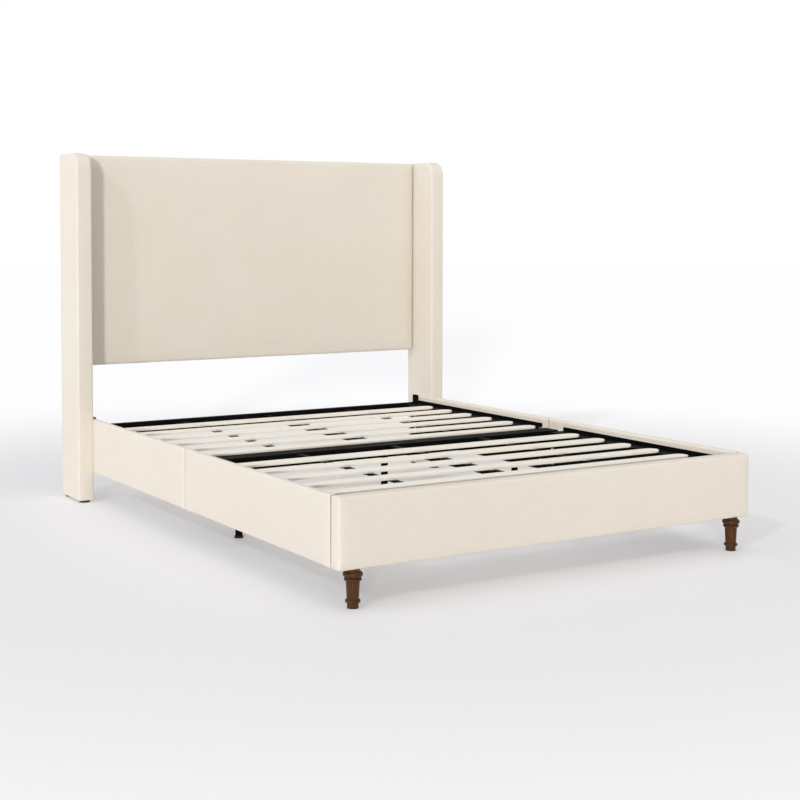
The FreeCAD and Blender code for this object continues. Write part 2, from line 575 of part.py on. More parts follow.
# ---------------------------------------------------------------- legs
def build_support_legs():
    """Three steel legs under the middle crossbar, each on a levelling foot with a stem."""
    leg_low = "(foot_tall + foot_gap)"
    for spot, middle in (("left", "-support_spread"), ("centre", "0"), ("right", "support_spread")):
        post = rod(f"support_{spot}_post", "support_wide", f"{CROSSBAR_LOW} - plate_thick - {leg_low}",
                   (middle, SUPPORT, leg_low))
        plate = box(f"support_{spot}_plate", "support_plate", "support_plate", "plate_thick",
                    (f"{middle} - support_plate / 2", f"{SUPPORT} - support_plate / 2",
                     f"{CROSSBAR_LOW} - plate_thick"))
        whole = doc.addObject("Part::Fuse", f"support_{spot}_whole")
        whole.Base = post
        whole.Tool = plate
        socket = rod(f"support_{spot}_socket", "stem_wide + stem_bore_gap", "stem_long + stem_room",
                     (middle, SUPPORT, leg_low))
        part(cut(f"support_{spot}_drilled", whole, [socket]), f"support_leg_{spot}")
        foot = doc.addObject("Part::Fuse", f"levelling_{spot}_whole")
        foot.Base = rod(f"levelling_{spot}_disc", "foot_wide", "foot_tall", (middle, SUPPORT, "0"))
        foot.Tool = rod(f"levelling_{spot}_stem", "stem_wide", "stem_long + foot_tall",
                        (middle, SUPPORT, "0"))
        part(foot, f"levelling_foot_{spot}")


def build_turned_legs():
    """Lathe-turned wooden legs: foot, ring, tapered body, ring, groove, bead and neck."""
    ring_low = "turned_foot_tall"
    body_low = f"{ring_low} + turned_ring_tall"
    bead_top = "leg_height - turned_neck_tall"
    bead_low = f"{bead_top} - turned_bead_tall"
    collar_top = f"{bead_low} - turned_groove_tall"
    collar_low = f"{collar_top} - turned_collar_tall"
    outline = [("0", "0"), ("turned_foot_wide", "0"), ("turned_foot_wide", ring_low),
               ("turned_ring_wide", ring_low), ("turned_ring_wide", body_low), ("turned_body_low", body_low),
               ("turned_body_high", collar_low), ("turned_collar_wide", collar_low),
               ("turned_collar_wide", collar_top), ("turned_groove_wide", collar_top),
               ("turned_groove_wide", bead_low), ("turned_bead_wide", bead_low),
               ("turned_bead_wide", bead_top), ("turned_neck_wide", bead_top),
               ("turned_neck_wide", "leg_height"), ("0", "leg_height")]
    body = doc.addObject("PartDesign::Body", "turned_leg")
    sketch = body.newObject("Sketcher::SketchObject", "turned_profile")
    face = [item for item in body.Origin.OriginFeatures if item.Role == "XZ_Plane"][0]
    sketch.AttachmentSupport = [(face, "")]
    sketch.MapMode = "FlatFace"
    draw_ring(sketch, outline)
    lathe = body.newObject("PartDesign::Revolution", "turned_lathe")
    lathe.Profile = sketch
    lathe.ReferenceAxis = (sketch, ["V_Axis"])
    lathe.Angle = 360

    def rim_of(radius, low, high):
        """A test for the two round edges of a disc of the turning."""
        return lambda edge: (abs(edge.BoundBox.XLength / 2 - number(radius)) < 0.1
                             and (at_height(edge, low) or at_height(edge, high)))

    round_edges(body, rim_of("turned_bead_wide", bead_low, bead_top),
                "min(turned_bead_tall / 2; turned_bead_wide - turned_neck_wide) - 0.4")
    round_edges(body, rim_of("turned_collar_wide", collar_low, collar_top),
                "min(turned_collar_tall / 2; turned_collar_wide - turned_body_high) - 1")
    round_edges(body, rim_of("turned_ring_wide", ring_low, body_low),
                "min(turned_ring_tall / 2; turned_ring_wide - turned_body_low) - 1")
    middle = (f"{HALF_OUTER} - turned_side", f"{FRONT} + footboard_thick / 2")
    place(body, *middle, "0")
    hanger_at = (*middle, "leg_height - hanger_long / 2")
    socket = rod("turned_socket", "stem_wide + stem_bore_gap", "hanger_long / 2", hanger_at)
    both_sides(cut("turned_leg_drilled", body, [socket]), "turned_leg")
    pair("hanger_bolts", [rod("hanger_bolt", "stem_wide", "hanger_long", hanger_at)])


build_wings()
build_panel()
build_rails()
build_footboard()
build_brackets()
build_bars()
build_slats()
build_support_legs()
build_turned_legs()
doc.recompute()


# ---------------------------------------------------------------- checks and export
def check_document():
    """Stop if any object failed to rebuild or any sub-part is not a set of valid solids."""
    failed = [item.Name for item in doc.Objects if {"Invalid", "Error"} & set(item.State)]
    if failed:
        raise RuntimeError(f"objects that failed: {failed}")
    for item in PARTS:
        shape = item.Shape
        if shape.isNull() or not shape.isValid() or not shape.Solids:
            raise RuntimeError(f"{item.Label} has no valid solid")
    labels = [item.Label for item in PARTS]
    if len(set(labels)) != len(labels) or len(labels) > MOST_PARTS:
        raise RuntimeError(f"{len(labels)} sub-parts, {len(set(labels))} names")


def export_parts():
    os.makedirs("parts", exist_ok=True)
    for item in PARTS:
        item.Shape.exportStep(f"parts/{item.Label}.step")
        bounds = item.Shape.BoundBox
        print(f"{item.Label:26s} {len(item.Shape.Solids):3d} solids  "
              f"x {bounds.XMin:8.1f} {bounds.XMax:8.1f}  y {bounds.YMin:8.1f} {bounds.YMax:8.1f}  "
              f"z {bounds.ZMin:7.1f} {bounds.ZMax:7.1f}")
    print(len(PARTS), "sub-parts")


check_document()
export_parts()
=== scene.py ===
import math

import bmesh
import bpy
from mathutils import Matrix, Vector, noise


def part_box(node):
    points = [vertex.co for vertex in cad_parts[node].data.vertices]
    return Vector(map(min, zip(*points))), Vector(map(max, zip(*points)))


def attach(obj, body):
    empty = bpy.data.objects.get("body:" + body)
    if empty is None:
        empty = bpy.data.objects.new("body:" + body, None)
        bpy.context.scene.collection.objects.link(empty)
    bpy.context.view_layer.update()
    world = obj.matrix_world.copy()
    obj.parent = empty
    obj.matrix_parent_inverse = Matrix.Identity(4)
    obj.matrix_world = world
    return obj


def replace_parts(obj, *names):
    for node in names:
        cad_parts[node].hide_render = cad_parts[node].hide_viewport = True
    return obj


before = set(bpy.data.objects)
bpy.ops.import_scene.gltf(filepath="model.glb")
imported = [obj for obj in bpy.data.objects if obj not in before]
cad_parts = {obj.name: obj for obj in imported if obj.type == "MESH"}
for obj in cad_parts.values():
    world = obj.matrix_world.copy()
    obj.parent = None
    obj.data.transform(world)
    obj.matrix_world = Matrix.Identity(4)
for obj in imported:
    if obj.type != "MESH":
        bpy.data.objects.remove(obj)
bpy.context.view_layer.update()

# An upholstered wing-headboard bed. Metres, +Z up, +Y to the head, +X to the right seen from the foot.
# Fabric and foam are netted and blown up by a short cloth simulation, steel tubes and slats are
# bevelled blocks, and the rest keeps its CAD mesh under a finish of its own.
BODY = "bed"
MM = 0.001
SIDES = ("left", "right")
HALVES = ("foot", "head")
STRIP_WIDE = 28 * MM


# ---------------------------------------------------------------- camera
def set_camera():
    """A long lens at standing height, to the left of the foot of the bed."""
    lens = bpy.data.cameras.new("studio_camera")
    lens.sensor_width = 36
    lens.lens = 65.7
    lens.shift_x = 0.06875
    lens.shift_y = -0.1375
    camera = bpy.data.objects.new("studio_camera", lens)
    camera.location = (-2.9002, -4.6826, 1.1048)
    camera.rotation_euler = (math.radians(90 - 2.426), 0, math.radians(-30.344))
    bpy.context.scene.collection.objects.link(camera)
    bpy.context.scene.camera = camera


# ---------------------------------------------------------------- node helpers
def add(tree, kind, inputs=None, **settings):
    """A node with its settings, its values and the sockets that feed it."""
    node = tree.nodes.new(kind)
    for name, value in settings.items():
        setattr(node, name, value)
    for key, value in (inputs or {}).items():
        if isinstance(value, bpy.types.NodeSocket):
            tree.links.new(value, node.inputs[key])
        else:
            node.inputs[key].default_value = value
    return node


def maths(tree, operation, first, second=0.0, third=0.0):
    return add(tree, "ShaderNodeMath", {0: first, 1: second, 2: third}, operation=operation).outputs[0]


def mix_value(tree, share, low, high):
    node = add(tree, "ShaderNodeMix", {0: share, 2: low, 3: high}, data_type="FLOAT")
    return node.outputs[0]


def mix_colour(tree, share, low, high, blend="MIX"):
    inputs = {0: share, 6: low, 7: high}
    return add(tree, "ShaderNodeMix", inputs, data_type="RGBA", blend_type=blend).outputs[2]


def ramp(tree, value, stops):
    """A value remapped through grey stops (place, brightness)."""
    node = add(tree, "ShaderNodeValToRGB", {0: value})
    bar = node.color_ramp.elements
    while len(bar) < len(stops):
        bar.new(0.5)
    for stop, (place, grey) in zip(bar, stops):
        stop.position = place
        stop.color = (grey, grey, grey, 1)
    return node.outputs[0]


def spots(tree, vector, scale, detail=2.0, roughness=0.5, distortion=0.0):
    inputs = {"Vector": vector, "Scale": scale, "Detail": detail, "Roughness": roughness,
              "Distortion": distortion}
    return add(tree, "ShaderNodeTexNoise", inputs).outputs[0]


def stretched(tree, vector, scale):
    """The same coordinates, squeezed along each axis."""
    return add(tree, "ShaderNodeMapping", {"Vector": vector, "Scale": scale}).outputs[0]


def effect(name, inputs, outputs):
    """An empty node group with named sockets: (tree, its inputs, the node that takes its outputs)."""
    tree = bpy.data.node_groups.new(name, "ShaderNodeTree")
    for label, kind, start in inputs:
        socket = tree.interface.new_socket(label, in_out="INPUT", socket_type="NodeSocket" + kind)
        if start is not None:
            socket.default_value = start
    for label, kind in outputs:
        tree.interface.new_socket(label, in_out="OUTPUT", socket_type="NodeSocket" + kind)
    return tree, tree.nodes.new("NodeGroupInput").outputs, tree.nodes.new("NodeGroupOutput").inputs


def use(tree, group, inputs):
    return add(tree, "ShaderNodeGroup", inputs, node_tree=group).outputs


# ---------------------------------------------------------------- shared effects
def plain_weave_effect():
    """Warp and weft of a plain weave on whichever plane the surface faces, with slubs in the yarn."""
    tree, given, out = effect("plain_weave", [("Vector", "Vector", None), ("Normal", "Vector", None),
                                              ("Pitch", "Float", 0.001), ("Slub", "Float", 0.3)],
                              [("Height", "Float"), ("Yarn", "Float")])
    place = add(tree, "ShaderNodeSeparateXYZ", {0: given["Vector"]}).outputs
    looks = add(tree, "ShaderNodeSeparateXYZ", {0: given["Normal"]}).outputs
    side_on = maths(tree, "GREATER_THAN", maths(tree, "ABSOLUTE", looks[0]), 0.7)
    level = maths(tree, "GREATER_THAN", maths(tree, "ABSOLUTE", looks[2]), 0.7)
    across = maths(tree, "DIVIDE", mix_value(tree, side_on, place[0], place[1]), given["Pitch"])
    along = maths(tree, "DIVIDE", mix_value(tree, level, place[2], place[1]), given["Pitch"])
    ridges = []
    for line in (across, along):
        wave = maths(tree, "ABSOLUTE", maths(tree, "SINE", maths(tree, "MULTIPLY", line, math.pi)))
        ridges.append(maths(tree, "POWER", wave, 0.6))
    whole = maths(tree, "ADD", maths(tree, "FLOOR", across), maths(tree, "FLOOR", along))
    over = maths(tree, "PINGPONG", whole, 1.0)
    yarns = []
    for squeeze in ((40, 40, 900), (900, 900, 40)):
        yarns.append(spots(tree, stretched(tree, given["Vector"], squeeze), 1.0, detail=1.0))
    yarn = mix_value(tree, over, yarns[0], yarns[1])
    height = mix_value(tree, over, ridges[0], ridges[1])
    tree.links.new(maths(tree, "MULTIPLY_ADD", yarn, given["Slub"], height), out["Height"])
    tree.links.new(yarn, out["Yarn"])
    return tree


def mottle_effect():
    """Broad and fine unevenness, 0 to 1."""
    tree, given, out = effect("mottle", [("Vector", "Vector", None), ("Scale", "Float", 5.0),
                                         ("Fine", "Float", 6.0)],
                              [("Broad", "Float"), ("Fine", "Float")])
    broad = spots(tree, given["Vector"], given["Scale"], detail=3.0)
    fine = spots(tree, given["Vector"], maths(tree, "MULTIPLY", given["Scale"], given["Fine"]), detail=4.0)
    tree.links.new(ramp(tree, broad, ((0.3, 0.0), (0.7, 1.0))), out["Broad"])
    tree.links.new(ramp(tree, fine, ((0.3, 0.0), (0.7, 1.0))), out["Fine"])
    return tree


def wood_grain_effect():
    """Growth bands that wander, and fine dark pores, on coordinates already stretched along the grain."""
    tree, given, out = effect("wood_grain", [("Vector", "Vector", None), ("Bands", "Float", 3.0),
                                             ("Wander", "Float", 2.0), ("Pores", "Float", 60.0)],
                              [("Grain", "Float"), ("Pore", "Float")])
    wave = add(tree, "ShaderNodeTexWave", {"Vector": given["Vector"], "Scale": given["Bands"],
                                           "Distortion": given["Wander"], "Detail": 3.0,
                                           "Detail Scale": 1.4}, wave_type="RINGS", rings_direction="X")
    drift = spots(tree, given["Vector"], maths(tree, "MULTIPLY", given["Bands"], 1.7), detail=5.0)
    tree.links.new(mix_value(tree, 0.45, wave.outputs[1], drift), out["Grain"])
    pores = spots(tree, given["Vector"], given["Pores"], detail=2.0)
    tree.links.new(ramp(tree, pores, ((0.55, 0.0), (0.7, 1.0))), out["Pore"])
    return tree


def handling_effect():
    """Where hands, dust and packing have rubbed a surface: soft patches and short scuffs."""
    tree, given, out = effect("handling", [("Vector", "Vector", None), ("Scale", "Float", 4.0),
                                           ("Amount", "Float", 0.5)],
                              [("Patch", "Float"), ("Scuff", "Float")])
    patch = spots(tree, given["Vector"], given["Scale"], detail=4.0, roughness=0.6)
    start = maths(tree, "SUBTRACT", 1.0, given["Amount"])
    eased = add(tree, "ShaderNodeMapRange", {"Value": patch, "From Min": maths(tree, "MULTIPLY", start, 0.6),
                                             "From Max": 0.85}).outputs[0]
    tree.links.new(eased, out["Patch"])
    scratch = spots(tree, stretched(tree, given["Vector"], (30, 260, 220)), given["Scale"], distortion=0.8)
    marks = ramp(tree, scratch, ((0.64, 0.0), (0.7, 1.0)))
    tree.links.new(maths(tree, "MULTIPLY", marks, maths(tree, "MULTIPLY", eased, given["Amount"])),
                   out["Scuff"])
    return tree


# ---------------------------------------------------------------- finishes
def finish_named(name, **values):
    """A material with one Principled shader whose even values sit on its own sockets."""
    material = bpy.data.materials.new(name)
    material.use_nodes = True
    tree = material.node_tree
    tree.nodes.clear()
    surface = add(tree, "ShaderNodeBsdfPrincipled", values)
    add(tree, "ShaderNodeOutputMaterial", {"Surface": surface.outputs[0]})
    place = add(tree, "ShaderNodeTexCoord").outputs["Object"]
    return material, tree, surface.inputs, place


def bump(tree, height, distance, strength=1.0):
    inputs = {"Height": height, "Distance": distance, "Strength": strength}
    return add(tree, "ShaderNodeBump", inputs).outputs[0]


def feed(tree, sockets, **sources):
    for name, source in sources.items():
        tree.links.new(source, sockets[name.replace("_", " ")])


def upholstery_finish(effects):
    """Cream linen-look fabric: plain weave, slubs, a faint mottle and a soft sheen."""
    material, tree, sockets, place = finish_named("cream_linen_upholstery", **{
        "Roughness": 0.92, "Sheen Weight": 0.12, "Sheen Roughness": 0.4, "Specular IOR Level": 0.2})
    looks = add(tree, "ShaderNodeNewGeometry").outputs["Normal"]
    weave = use(tree, effects["weave"], {"Vector": place, "Normal": looks, "Pitch": 0.9 * MM, "Slub": 0.5})
    uneven = use(tree, effects["mottle"], {"Vector": place, "Scale": 3.5, "Fine": 14.0})
    yarn = mix_colour(tree, weave["Yarn"], (0.735, 0.672, 0.580, 1), (0.810, 0.753, 0.672, 1))
    tint = mix_colour(tree, uneven["Broad"], (0.985, 0.972, 0.955, 1), (1.0, 1.0, 1.0, 1))
    colour = mix_colour(tree, 1.0, yarn, tint, "MULTIPLY")
    shade = mix_colour(tree, maths(tree, "MULTIPLY", uneven["Fine"], 0.5), (1, 1, 1, 1),
                       (0.965, 0.96, 0.95, 1))
    feed(tree, sockets, Base_Color=mix_colour(tree, 1.0, colour, shade, "MULTIPLY"),
         Normal=bump(tree, weave["Height"], 0.25 * MM, 0.6))
    return material


def lining_finish(effects):
    """Black non-woven cloth: short bonded fibres with a faint dimpled emboss."""
    material, tree, sockets, place = finish_named("black_dust_cloth", **{
        "Sheen Weight": 0.01, "Sheen Roughness": 0.5, "Specular IOR Level": 0.04})
    looks = add(tree, "ShaderNodeNewGeometry").outputs["Normal"]
    dimples = use(tree, effects["weave"], {"Vector": place, "Normal": looks, "Pitch": 1.6 * MM,
                                           "Slub": 0.8})
    uneven = use(tree, effects["mottle"], {"Vector": place, "Scale": 30.0, "Fine": 20.0})
    fibre = mix_colour(tree, uneven["Fine"], (0.0030, 0.0030, 0.0032, 1), (0.0090, 0.0090, 0.0095, 1))
    feed(tree, sockets, Base_Color=mix_colour(tree, maths(tree, "MULTIPLY", uneven["Broad"], 0.25), fibre,
                                              (0.012, 0.012, 0.012, 1)),
         Roughness=mix_value(tree, uneven["Broad"], 0.82, 0.95),
         Normal=bump(tree, dimples["Height"], 0.2 * MM, 0.7))
    return material


def pale_slat_finish(effects):
    """Sanded poplar slats, grain along the slat, sealed matt."""
    material, tree, sockets, place = finish_named("pale_poplar_slats", **{"Specular IOR Level": 0.35})
    along = stretched(tree, place, (1.1, 22.0, 22.0))
    grain = use(tree, effects["grain"], {"Vector": along, "Bands": 1.3, "Wander": 5.0, "Pores": 26.0})
    uneven = use(tree, effects["mottle"], {"Vector": place, "Scale": 2.2, "Fine": 18.0})
    wood = mix_colour(tree, grain["Grain"], (0.875, 0.810, 0.700, 1), (0.925, 0.880, 0.790, 1))
    wood = mix_colour(tree, maths(tree, "MULTIPLY", grain["Pore"], 0.30), wood, (0.72, 0.62, 0.47, 1))
    feed(tree, sockets,
         Base_Color=mix_colour(tree, maths(tree, "MULTIPLY", uneven["Broad"], 0.25), wood,
                               (0.86, 0.80, 0.70, 1)),
         Roughness=mix_value(tree, grain["Grain"], 0.62, 0.52),
         Normal=bump(tree, grain["Grain"], 0.12 * MM, 0.4))
    return material


def board_finish(effects):
    """Raw plywood and softwood boards, seen only from below."""
    material, tree, sockets, place = finish_named("raw_plywood_board", **{"Specular IOR Level": 0.3})
    along = stretched(tree, place, (2.0, 16.0, 16.0))
    grain = use(tree, effects["grain"], {"Vector": along, "Bands": 1.6, "Wander": 7.0, "Pores": 30.0})
    wood = mix_colour(tree, grain["Grain"], (0.52, 0.36, 0.20, 1), (0.72, 0.56, 0.36, 1))
    feed(tree, sockets,
         Base_Color=mix_colour(tree, maths(tree, "MULTIPLY", grain["Pore"], 0.5), wood,
                               (0.33, 0.21, 0.11, 1)),
         Roughness=mix_value(tree, grain["Grain"], 0.85, 0.7),
         Normal=bump(tree, grain["Grain"], 0.3 * MM, 0.5))
    return material


def turned_wood_finish(effects):
    """Brown-stained hardwood off the lathe under gloss lacquer, darker where the stain pools."""
    material, tree, sockets, place = finish_named("lacquered_walnut_stain", **{
        "Coat Weight": 0.30, "Coat Roughness": 0.06, "Coat IOR": 1.4, "Specular IOR Level": 0.15})
    along = stretched(tree, place, (38.0, 38.0, 5.0))
    grain = use(tree, effects["grain"], {"Vector": along, "Bands": 1.0, "Wander": 4.0, "Pores": 22.0})
    rubbed = use(tree, effects["handling"], {"Vector": place, "Scale": 18.0, "Amount": 0.45})
    wood = mix_colour(tree, grain["Grain"], (0.022, 0.0065, 0.0006, 1), (0.092, 0.033, 0.0040, 1))
    wood = mix_colour(tree, maths(tree, "MULTIPLY", grain["Pore"], 0.55), wood, (0.008, 0.002, 0.0005, 1))
    feed(tree, sockets,
         Base_Color=mix_colour(tree, maths(tree, "MULTIPLY", rubbed["Patch"], 0.3), wood,
                               (0.120, 0.046, 0.007, 1)),
         Roughness=mix_value(tree, grain["Grain"], 0.50, 0.38),
         Normal=bump(tree, grain["Grain"], 0.08 * MM, 0.35))
    return material


def powder_coat_finish(effects):
    """Black powder-coated steel: fine orange peel, satin, with a few grey scuffs."""
    material, tree, sockets, place = finish_named("black_powder_coat", **{"Specular IOR Level": 0.04})
    rubbed = use(tree, effects["handling"], {"Vector": place, "Scale": 5.0, "Amount": 0.5})
    peel = spots(tree, place, 900.0, detail=2.0)
    coat = mix_colour(tree, rubbed["Patch"], (0.0022, 0.0022, 0.0024, 1), (0.0050, 0.0050, 0.0053, 1))
    feed(tree, sockets,
         Base_Color=mix_colour(tree, maths(tree, "MULTIPLY", rubbed["Scuff"], 0.6), coat,
                               (0.030, 0.030, 0.031, 1)),
         Roughness=mix_value(tree, rubbed["Patch"], 0.52, 0.64),
         Normal=bump(tree, peel, 0.08 * MM, 0.5))
    return material


def bolt_finish(effects):
    """Zinc-plated bolts with brushed streaks and dull patches."""
    material, tree, sockets, place = finish_named("zinc_plated_bolts", **{"Metallic": 1.0})
    rubbed = use(tree, effects["handling"], {"Vector": place, "Scale": 60.0, "Amount": 0.6})
    streak = spots(tree, stretched(tree, place, (120.0, 900.0, 900.0)), 1.0)
    feed(tree, sockets,
         Base_Color=mix_colour(tree, rubbed["Patch"], (0.58, 0.59, 0.60, 1), (0.40, 0.41, 0.42, 1)),
         Roughness=mix_value(tree, streak, 0.25, 0.42), Normal=bump(tree, streak, 0.03 * MM, 0.4))
    return material


def moulding_finish(name, effects, clean, worn, gloss, grit):
    """Moulded plastic: a fine spark texture, paler where it has rubbed."""
    material, tree, sockets, place = finish_named(name, **{"Specular IOR Level": 0.3})
    rubbed = use(tree, effects["handling"], {"Vector": place, "Scale": 25.0, "Amount": 0.55})
    spark = spots(tree, place, grit, detail=3.0)
    feed(tree, sockets,
         Base_Color=mix_colour(tree, rubbed["Patch"], (*clean, 1), (*worn, 1)),
         Roughness=mix_value(tree, spark, gloss, gloss + 0.2), Normal=bump(tree, spark, 0.06 * MM, 0.6))
    return material


def make_finishes():
    """Every material of the bed, under the names of the record's slots."""
    effects = {"weave": plain_weave_effect(), "mottle": mottle_effect(), "grain": wood_grain_effect(),
               "handling": handling_effect()}
    return {
        "upholstery": upholstery_finish(effects),
        "lining_cloth": lining_finish(effects),
        "slat_wood": pale_slat_finish(effects),
        "board_wood": board_finish(effects),
        "turned_wood": turned_wood_finish(effects),
        "black_steel": powder_coat_finish(effects),
        "bolt_steel": bolt_finish(effects),
        "spacer_pads": moulding_finish("pale_nylon_pads", effects, (0.72, 0.68, 0.60), (0.82, 0.79, 0.72),
                                       0.45, 500.0),
        "glide_plastic": moulding_finish("dark_nylon_glides", effects, (0.020, 0.019, 0.018),
                                         (0.045, 0.044, 0.042), 0.45, 700.0),
        "foot_plastic": moulding_finish("black_nylon_feet", effects, (0.006, 0.006, 0.006),
                                        (0.016, 0.016, 0.016), 0.42, 700.0),
    }


# ---------------------------------------------------------------- mesh helpers
def block(low, high):
    """A bmesh block between two corners."""
    shape = bmesh.new()
    bmesh.ops.create_cube(shape, size=1)
    bmesh.ops.scale(shape, vec=Vector(high) - Vector(low), verts=shape.verts)
    bmesh.ops.translate(shape, vec=(Vector(low) + Vector(high)) / 2, verts=shape.verts)
    return shape


def round_over(shape, edges, radius, steps):
    return bmesh.ops.bevel(shape, geom=edges, offset=radius, offset_type="OFFSET", segments=steps,
                           profile=0.5, affect="EDGES", material=-1, clamp_overlap=True)


def sharp_edges(shape, least=0.8):
    return [edge for edge in shape.edges if edge.is_manifold and edge.calc_face_angle() > least]


def runs(edge, axis):
    """True for an edge that runs along axis 0, 1 or 2."""
    step = edge.verts[1].co - edge.verts[0].co
    return abs(step[axis]) > 0.999 * step.length


def middle_of(edge):
    return (edge.verts[0].co + edge.verts[1].co) / 2


def facing(shape, axis, way):
    """The largest face that looks one way along an axis."""
    faces = [face for face in shape.faces if face.normal[axis] * way > 0.99]
    return max(faces, key=lambda face: face.calc_area())


def open_end(shape, axis, way, wall, depth):
    """Leave a board's pocket in an end of a cover: a rim as wide as the wall, and a floor inside it."""
    face = facing(shape, axis, way)
    bmesh.ops.inset_region(shape, faces=[face], thickness=wall, use_even_offset=True)
    pushed = bmesh.ops.extrude_discrete_faces(shape, faces=[face])["faces"]
    inward = Vector((0, 0, 0))
    inward[axis] = -way * depth
    bmesh.ops.translate(shape, vec=inward, verts=list(pushed[0].verts))


def net(shape, cell):
    """Cut the whole shape into a net of even cells."""
    for axis in range(3):
        spread = [vert.co[axis] for vert in shape.verts]
        low, high = min(spread), max(spread)
        count = max(1, round((high - low) / cell))
        for step in range(1, count):
            point, along = Vector((0, 0, 0)), Vector((0, 0, 0))
            point[axis] = low + (high - low) * step / count
            along[axis] = 1
            everything = shape.verts[:] + shape.edges[:] + shape.faces[:]
            bmesh.ops.bisect_plane(shape, geom=everything, dist=1e-6, plane_co=point, plane_no=along)


def piece_from(shape, name, material, smooth=True):
    """Turn a bmesh into a piece of the bed."""
    mesh = bpy.data.meshes.new(name)
    shape.to_mesh(mesh)
    shape.free()
    mesh.materials.append(material)
    mesh.polygons.foreach_set("use_smooth", [smooth] * len(mesh.polygons))
    piece = bpy.data.objects.new(name, mesh)
    bpy.context.scene.collection.objects.link(piece)
    return piece


def seat(piece, slot_name, *nodes):
    """Ride on the bed and stand for the CAD nodes."""
    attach(piece, BODY)
    if nodes:
        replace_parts(piece, *nodes)
    return piece


def swell(piece, held, cap, pressure=4.0, last=20):
    """Blow a netted cover up like a cushion, hold the named points, and cap how far the rest moves."""
    scene = bpy.context.scene
    mesh = piece.data
    rest = [vert.co.copy() for vert in mesh.vertices]
    grip = piece.vertex_groups.new(name="held")
    grip.add([i for i, point in enumerate(rest) if held(point)], 1.0, "REPLACE")
    cloth = piece.modifiers.new("swell", "CLOTH")
    settings = cloth.settings
    settings.quality = 6
    settings.mass = 0.3
    settings.tension_stiffness = settings.compression_stiffness = 12
    settings.shear_stiffness = 6
    settings.bending_stiffness = 0.6
    settings.use_pressure = True
    settings.uniform_pressure_force = pressure
    settings.vertex_group_mass = grip.name
    settings.effector_weights.gravity = 0
    cloth.collision_settings.use_collision = False
    cloth.point_cache.frame_start, cloth.point_cache.frame_end = 1, last
    scene.frame_start, scene.frame_end = 1, last
    for step in range(1, last + 1):
        scene.frame_set(step)
    blown = piece.evaluated_get(bpy.context.evaluated_depsgraph_get()).to_mesh()
    moved = [vert.co.copy() for vert in blown.vertices]
    piece.modifiers.remove(cloth)
    piece.vertex_groups.clear()
    scene.frame_set(1)
    for vert, start, end in zip(mesh.vertices, rest, moved):
        step = end - start
        if step.length > 1e-7:
            vert.co = start + step.normalized() * cap * math.tanh(step.length / cap)


def settle(piece, amount, size, held):
    """Small dips and swells of foam under tight fabric."""
    normals = [vert.normal.copy() for vert in piece.data.vertices]
    for vert, outward in zip(piece.data.vertices, normals):
        if not held(vert.co):
            vert.co += outward * amount * noise.noise(vert.co / size)


def smoothed(piece, levels=1):
    extra = piece.modifiers.new("smooth", "SUBSURF")
    extra.levels = extra.render_levels = levels
    return piece


# ---------------------------------------------------------------- upholstery
RAIL_WALL = 5.5 * MM
CELL = 26 * MM


def upholstered(name, shape, held, cap, node, cell=CELL, wave=0.5 * MM):
    """Net, swell, settle and smooth one cover, and put it in its CAD node's place."""
    if cell:
        net(shape, cell)
    piece = piece_from(shape, name, FINISH["upholstery"])
    swell(piece, held, cap)
    settle(piece, wave, 0.14, held)
    smoothed(piece)
    seat(piece, "upholstery", node)
    return piece


def wing_upholstery(side):
    """A board in fabric over thin foam, with a rounded upper front corner and soft edges all round."""
    node = f"wing_{side}_cover"
    low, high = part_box(node)
    shape = block(low, high)
    crown = [edge for edge in shape.edges if runs(edge, 0) and edge.verts[0].co.z > high.z - MM
             and edge.verts[0].co.y < low.y + MM]
    round_over(shape, crown, 65 * MM, 14)
    round_over(shape, sharp_edges(shape), 7 * MM, 4)
    open_end(shape, 2, -1, 3 * MM, 14 * MM)

    def held(point):
        return point.z < low.z + 12 * MM

    return upholstered(f"wing_{side}_upholstery", shape, held, 2.2 * MM, node)


def headboard_cushion():
    """The foam front of the headboard: nearly flat, rolling off slowly towards both wings."""
    low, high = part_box("headboard_pad")
    gap, roll, drop = 1.5 * MM, 55 * MM, 7 * MM
    shape = block(Vector(low) + Vector((gap, 4 * MM, 2 * MM)), Vector(high) - Vector((gap, 0, 2 * MM)))
    back = [edge for edge in shape.edges if middle_of(edge).y > high.y - MM]
    round_over(shape, back, 4 * MM, 2)
    front = [edge for edge in sharp_edges(shape) if middle_of(edge).y < high.y - 20 * MM
             and not (runs(edge, 1) and edge.calc_length() > 30 * MM)]
    round_over(shape, front, 13 * MM, 5)
    round_over(shape, [edge for edge in sharp_edges(shape) if runs(edge, 1)], 8 * MM, 4)
    open_end(shape, 1, 1, 6 * MM, 4 * MM)
    net(shape, 20 * MM)
    for vert in shape.verts:
        share = 1 - min(vert.co.x - low.x, high.x - vert.co.x) / roll
        if share > 0 and vert.co.y < high.y - 20 * MM:
            vert.co.y += drop * share ** 2

    def held(point):
        return point.y > high.y - 14 * MM

    return upholstered("headboard_cushion", shape, held, 4 * MM, "headboard_pad", cell=None,
                       wave=1.0 * MM)


